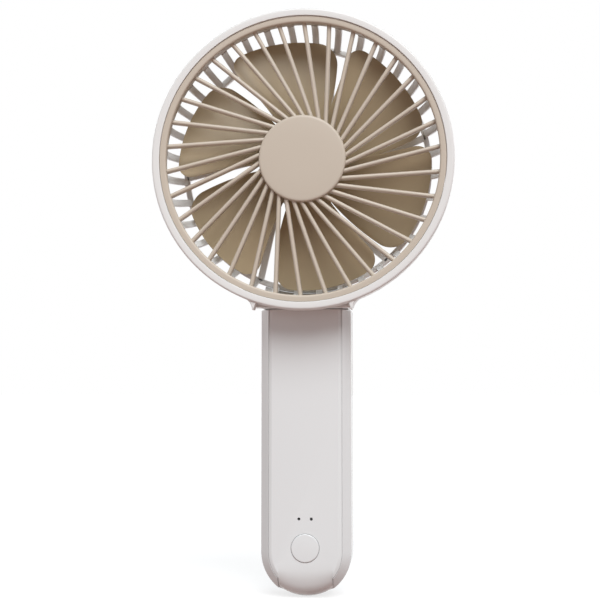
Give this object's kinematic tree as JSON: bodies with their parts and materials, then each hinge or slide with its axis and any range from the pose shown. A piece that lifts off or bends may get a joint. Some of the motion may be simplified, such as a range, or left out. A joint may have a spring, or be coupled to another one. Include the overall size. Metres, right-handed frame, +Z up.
{
  "type": "handheld folding fan",
  "caption": "Handheld battery fan: round spoked grille and bladed impeller in a head that folds flat behind a slim handle with a push button.",
  "frame": {"origin": "under the handle's round end, at the middle of the fan's width and thickness", "axes": "+Z up from the handle to the head, +Y out of the back, so the grille faces -Y, +X to the right seen from the front"},
  "size_m": [0.118, 0.041, 0.231],
  "materials": {
    "handle_white": "high gloss",
    "head_white": "satin gloss",
    "grille_beige": "satin",
    "blade_tan": "satin",
    "black_plastic": "moulded",
    "board_green": "solder mask",
    "port_steel": "drawn",
    "cell_sleeve": "shrink sleeve",
    "foam_pad": "foam",
    "clear_plastic": "clear",
    "turned_brass": "turned",
    "core_steel": "laminated",
    "bearing_steel": "ground",
    "pin_steel": "ground",
    "screw_steel": "nickel plated",
    "can_steel": "drawn",
    "magnet": "bonded",
    "copper_wire": "enamelled"
  },
  "bodies": {
    "handle": {"back_shell": "handle_white", "front_cover": "handle_white", "tact_switch": "black_plastic", "circuit_board": "board_green", "charge_board": "board_green", "charge_port": "port_steel", "battery_cell": "cell_sleeve", "battery_pad": "foam_pad", "light_pipe_left": "clear_plastic", "light_pipe_right": "clear_plastic", "back_screw_1": "screw_steel", "back_screw_2": "screw_steel", "back_screw_3": "screw_steel", "back_screw_4": "screw_steel"},
    "head": {"front_ring": "head_white", "front_grille": "grille_beige", "grille_cap": "grille_beige", "head_shell": "head_white", "rear_grille": "head_white", "motor_cover": "head_white", "motor_base": "turned_brass", "motor_board": "board_green", "stator_core": "core_steel", "front_bearing": "bearing_steel", "rear_bearing": "bearing_steel", "coil_1": "copper_wire", "coil_2": "copper_wire", "coil_3": "copper_wire", "coil_4": "copper_wire", "coil_5": "copper_wire", "coil_6": "copper_wire", "motor_screw_1": "screw_steel", "motor_screw_2": "screw_steel", "motor_screw_3": "screw_steel", "hinge_pin": "pin_steel", "hinge_washer_left": "pin_steel", "hinge_washer_right": "pin_steel", "hinge_cap_left": "head_white", "hinge_cap_right": "head_white"},
    "rotor": {"impeller": "blade_tan", "rotor_can": "can_steel", "magnet_ring": "magnet", "motor_shaft": "pin_steel"},
    "button": {"power_button": "handle_white", "switch_plunger": "black_plastic"}
  },
  "joints": [
    {"name": "head_fold", "type": "hinge", "parent": "handle", "child": "head", "pos_m": [0, 0.016, 0.1177], "axis": [-1, 0, 0], "range_deg": [0, 180]},
    {"name": "rotor_spin", "type": "hinge", "parent": "head", "child": "rotor", "pos_m": [0, -0.0055, 0.172], "axis": [0, 1, 0], "continuous": true},
    {"name": "button_press", "type": "slide", "parent": "handle", "child": "button", "axis": [0, 1, 0], "range_m": [0, 0.0006], "stiffness_N_per_m": 1200, "springref_m": -0.0003}
  ]
}
